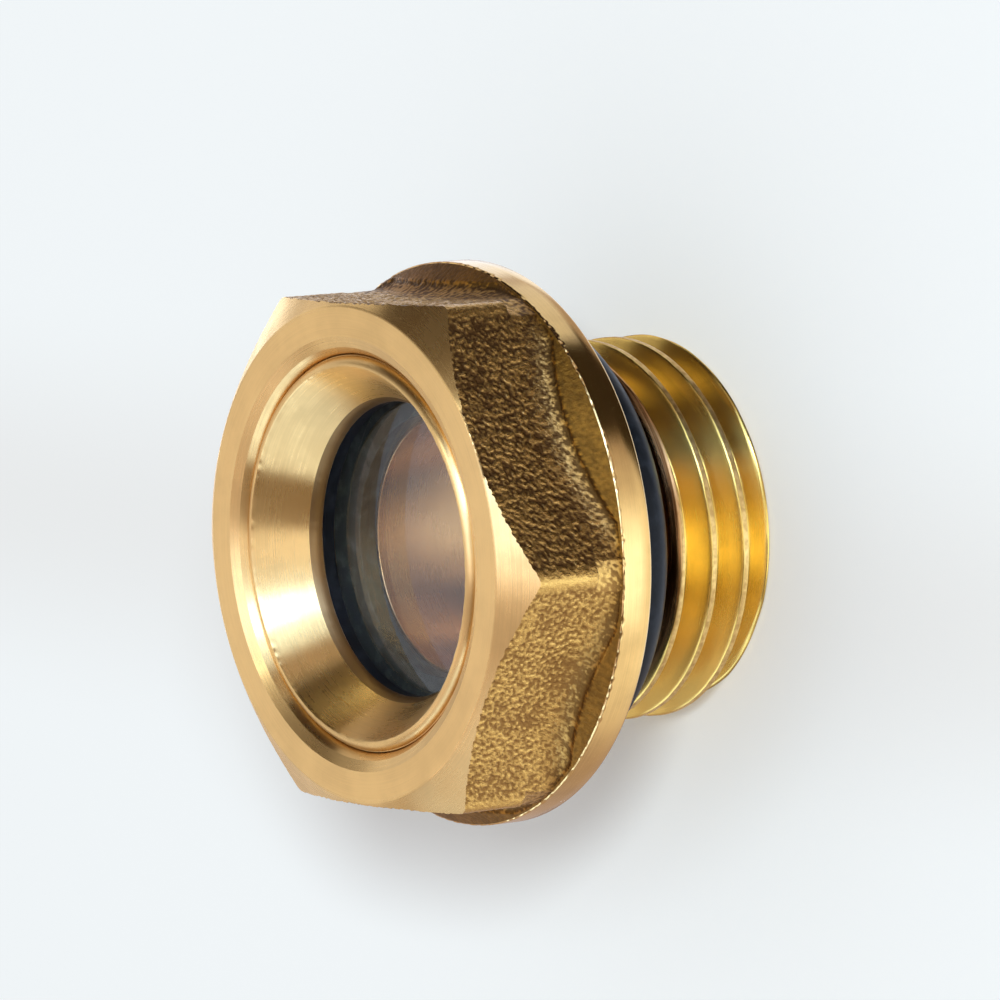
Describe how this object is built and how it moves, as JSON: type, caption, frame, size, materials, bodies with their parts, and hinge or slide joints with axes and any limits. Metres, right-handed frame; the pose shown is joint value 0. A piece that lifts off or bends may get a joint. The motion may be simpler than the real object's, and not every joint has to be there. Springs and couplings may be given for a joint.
{
  "type": "oil level sight glass",
  "caption": "Brass oil level sight glass with a hexagon head, a coned window ring, a flat glass disc, a rubber seal behind the flange and a G 1/4 thread",
  "frame": {"origin": "on the thread axis, in the face of the flange that seals against the port", "axes": "+Z runs along the thread axis out of the window, the thread end points to -Z, and two flats of the hexagon are square to X"},
  "size_m": [0.0192, 0.0194, 0.013],
  "materials": {
    "forged_brass": "hot forged grain on the flats, turned and polished elsewhere",
    "turned_brass": "fine turned, with faint concentric marks",
    "gasket_rubber": "smooth moulded rubber",
    "window_glass": "clear, polished",
    "seal_rubber": "smooth moulded rubber"
  },
  "bodies": {
    "root": {"body": "forged_brass", "retaining_ring": "turned_brass", "front_gasket": "gasket_rubber", "glass_disc": "window_glass", "rear_gasket": "gasket_rubber", "flange_seal": "seal_rubber"}
  },
  "joints": []
}
